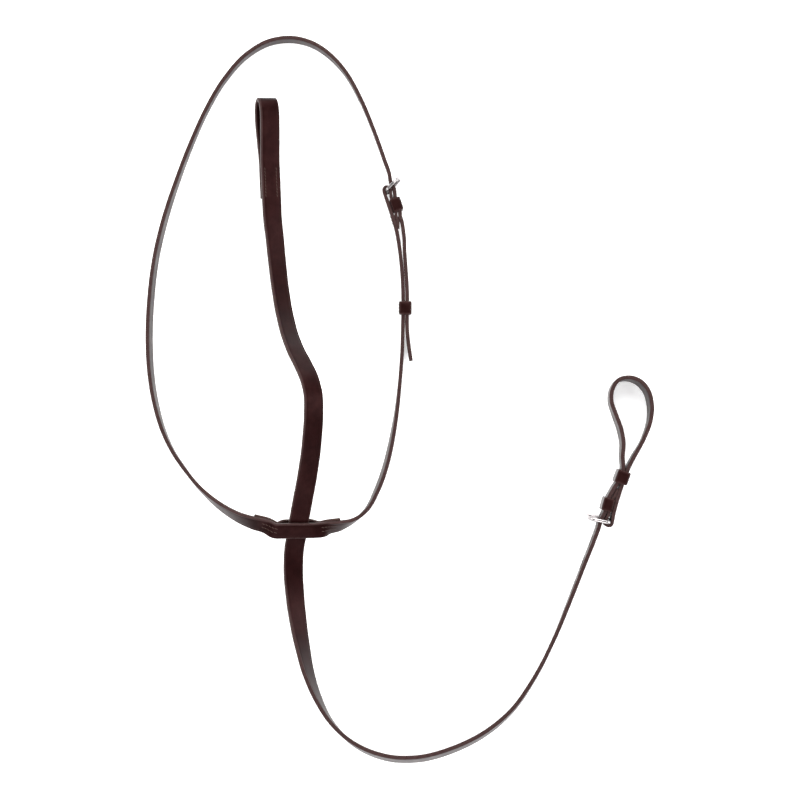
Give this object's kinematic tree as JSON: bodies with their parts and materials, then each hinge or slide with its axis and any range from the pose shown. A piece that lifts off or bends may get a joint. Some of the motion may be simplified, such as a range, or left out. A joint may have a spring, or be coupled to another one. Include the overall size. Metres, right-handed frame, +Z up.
{
  "type": "standing martingale",
  "caption": "Standing martingale: buckled neck strap with a breast slot, and a long strap through it from a sewn noseband loop to a buckled girth loop, laid out loosely.",
  "frame": {"origin": "on the ground under the middle of the outline", "axes": "+Z up; +Y along the layout, from the girth end towards the top of the neck loop and the noseband loop; +X towards the girth loop"},
  "size_m": [0.5045, 0.7246, 0.08],
  "materials": {
    "strap_leather": "dark havana bridle leather, waxed, lighter worn edges",
    "keeper_leather": "the same leather, a little lighter",
    "backing_leather": "the same leather, flesh side out",
    "thread": "dark brown waxed linen thread",
    "buckle_steel": "polished stainless steel"
  },
  "bodies": {
    "neckpiece": {"neck_strap": "strap_leather", "neck_slot_backing": "backing_leather", "neck_slot_seam_left": "thread", "neck_slot_seam_right": "thread", "neck_buckle_seam": "thread", "neck_fixed_keeper": "keeper_leather"},
    "neck_buckle": {"neck_buckle_frame": "buckle_steel"},
    "neck_tongue": {"neck_buckle_tongue": "buckle_steel"},
    "neck_keeper": {"neck_sliding_keeper": "keeper_leather", "neck_sliding_keeper_seam": "thread"},
    "standing": {"standing_strap": "strap_leather", "noseband_loop_seam": "thread", "girth_buckle_seam": "thread", "girth_fixed_keeper": "keeper_leather"},
    "girth_buckle": {"girth_buckle_frame": "buckle_steel"},
    "girth_tongue": {"girth_buckle_tongue": "buckle_steel"},
    "girth_keeper": {"girth_sliding_keeper": "keeper_leather", "girth_sliding_keeper_seam": "thread"}
  },
  "joints": [
    {"name": "neck_buckle_hinge", "type": "hinge", "parent": "neckpiece", "child": "neck_buckle", "pos_m": [-0.01294, 0.20809, 0.0115], "axis": [0, 0, 1], "range_deg": [-6, 6]},
    {"name": "neck_tongue_hinge", "type": "hinge", "parent": "neck_buckle", "child": "neck_tongue", "pos_m": [-0.01294, 0.20809, 0.0115], "axis": [0, 0, -1], "range_deg": [0, 6]},
    {"name": "neck_keeper_slide", "type": "slide", "parent": "neckpiece", "child": "neck_keeper", "axis": [-0.003, -1, -0.003], "range_m": [-0.012, 0.012]},
    {"name": "standing_slide", "type": "slide", "parent": "neckpiece", "child": "standing", "axis": [0.1738, 0.9288, 0.3272], "range_m": [0, 0.01]},
    {"name": "girth_buckle_hinge", "type": "hinge", "parent": "standing", "child": "girth_buckle", "pos_m": [0.20649, -0.12095, 0.0141], "axis": [0, 0, 1], "range_deg": [-6, 6]},
    {"name": "girth_tongue_hinge", "type": "hinge", "parent": "girth_buckle", "child": "girth_tongue", "pos_m": [0.20649, -0.12095, 0.0141], "axis": [0, 0, -1], "range_deg": [0, 6]},
    {"name": "girth_keeper_slide", "type": "slide", "parent": "standing", "child": "girth_keeper", "axis": [0.3401, 0.9404, 0], "range_m": [0, 0.002]}
  ]
}
